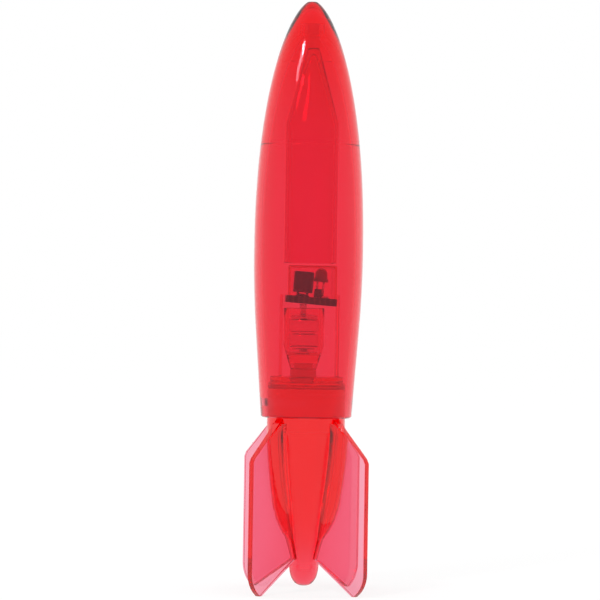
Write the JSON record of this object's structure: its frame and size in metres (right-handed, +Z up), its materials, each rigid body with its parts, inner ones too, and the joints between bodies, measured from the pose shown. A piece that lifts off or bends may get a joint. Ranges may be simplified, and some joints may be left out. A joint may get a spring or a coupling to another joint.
{
  "type": "light-up pool rocket",
  "caption": "Clear red rocket hull on a twist-off finned tail, with a shake-switched light module on cells inside under a light tube.",
  "frame": {"origin": "on the hull's axis, at the height of the fin tips that it stands on", "axes": "+Z up the axis to the nose; the fins lie on the diagonals between X and Y"},
  "size_m": [0.03, 0.03, 0.15],
  "materials": {
    "hull_plastic": "clear red, polished",
    "tube_plastic": "clear red, polished",
    "tail_plastic": "clear red, polished",
    "clip_plastic": "clear pink-red, polished",
    "cup_plastic": "clear pink-red, polished",
    "foot_plastic": "dark red, satin",
    "seal_rubber": "dark red silicone",
    "plated_metal": "nickel plated",
    "cell_steel": "nickel plated can",
    "board_laminate": "dark solder mask",
    "black_epoxy": "black moulded epoxy",
    "tan_ceramic": "ceramic chip",
    "lamp_epoxy": "diffused red epoxy",
    "gold_wire": "gold plated wire"
  },
  "bodies": {
    "tail": {"finned_tail": "tail_plastic", "module_clip": "clip_plastic", "pivot_foot": "foot_plastic", "cell_cup": "cup_plastic", "lower_contact": "plated_metal", "lower_cell": "cell_steel", "upper_cell": "cell_steel", "upper_contact": "plated_metal", "negative_strip": "plated_metal", "positive_strip": "plated_metal", "circuit_board": "board_laminate", "component_cover": "cup_plastic", "timing_chip": "black_epoxy", "driver_transistor": "black_epoxy", "chip_resistor": "black_epoxy", "chip_capacitor": "tan_ceramic", "led_lens": "lamp_epoxy", "led_legs": "plated_metal", "switch_can": "black_epoxy", "switch_base": "black_epoxy", "switch_pin": "gold_wire"},
    "seal": {"seal_ring": "seal_rubber"},
    "hull": {"nose_cone": "hull_plastic", "hull_barrel": "hull_plastic", "light_tube": "tube_plastic"},
    "coil": {"switch_coil": "gold_wire"}
  },
  "joints": [
    {"name": "hull_turn", "type": "hinge", "parent": "tail", "child": "seal", "pos_m": [0, 0, 0.0482], "axis": [0, 0, -1], "range_deg": [0, 75]},
    {"name": "hull_pull", "type": "slide", "parent": "seal", "child": "hull", "axis": [0, 0, 1], "range_m": [0, 0.045]},
    {"name": "coil_sway", "type": "hinge", "parent": "tail", "child": "coil", "pos_m": [-0.0014, -0.0012, 0.07666], "axis": [0, 1, 0], "range_deg": [-5, 5], "stiffness_Nm_per_rad": 0.00002}
  ]
}
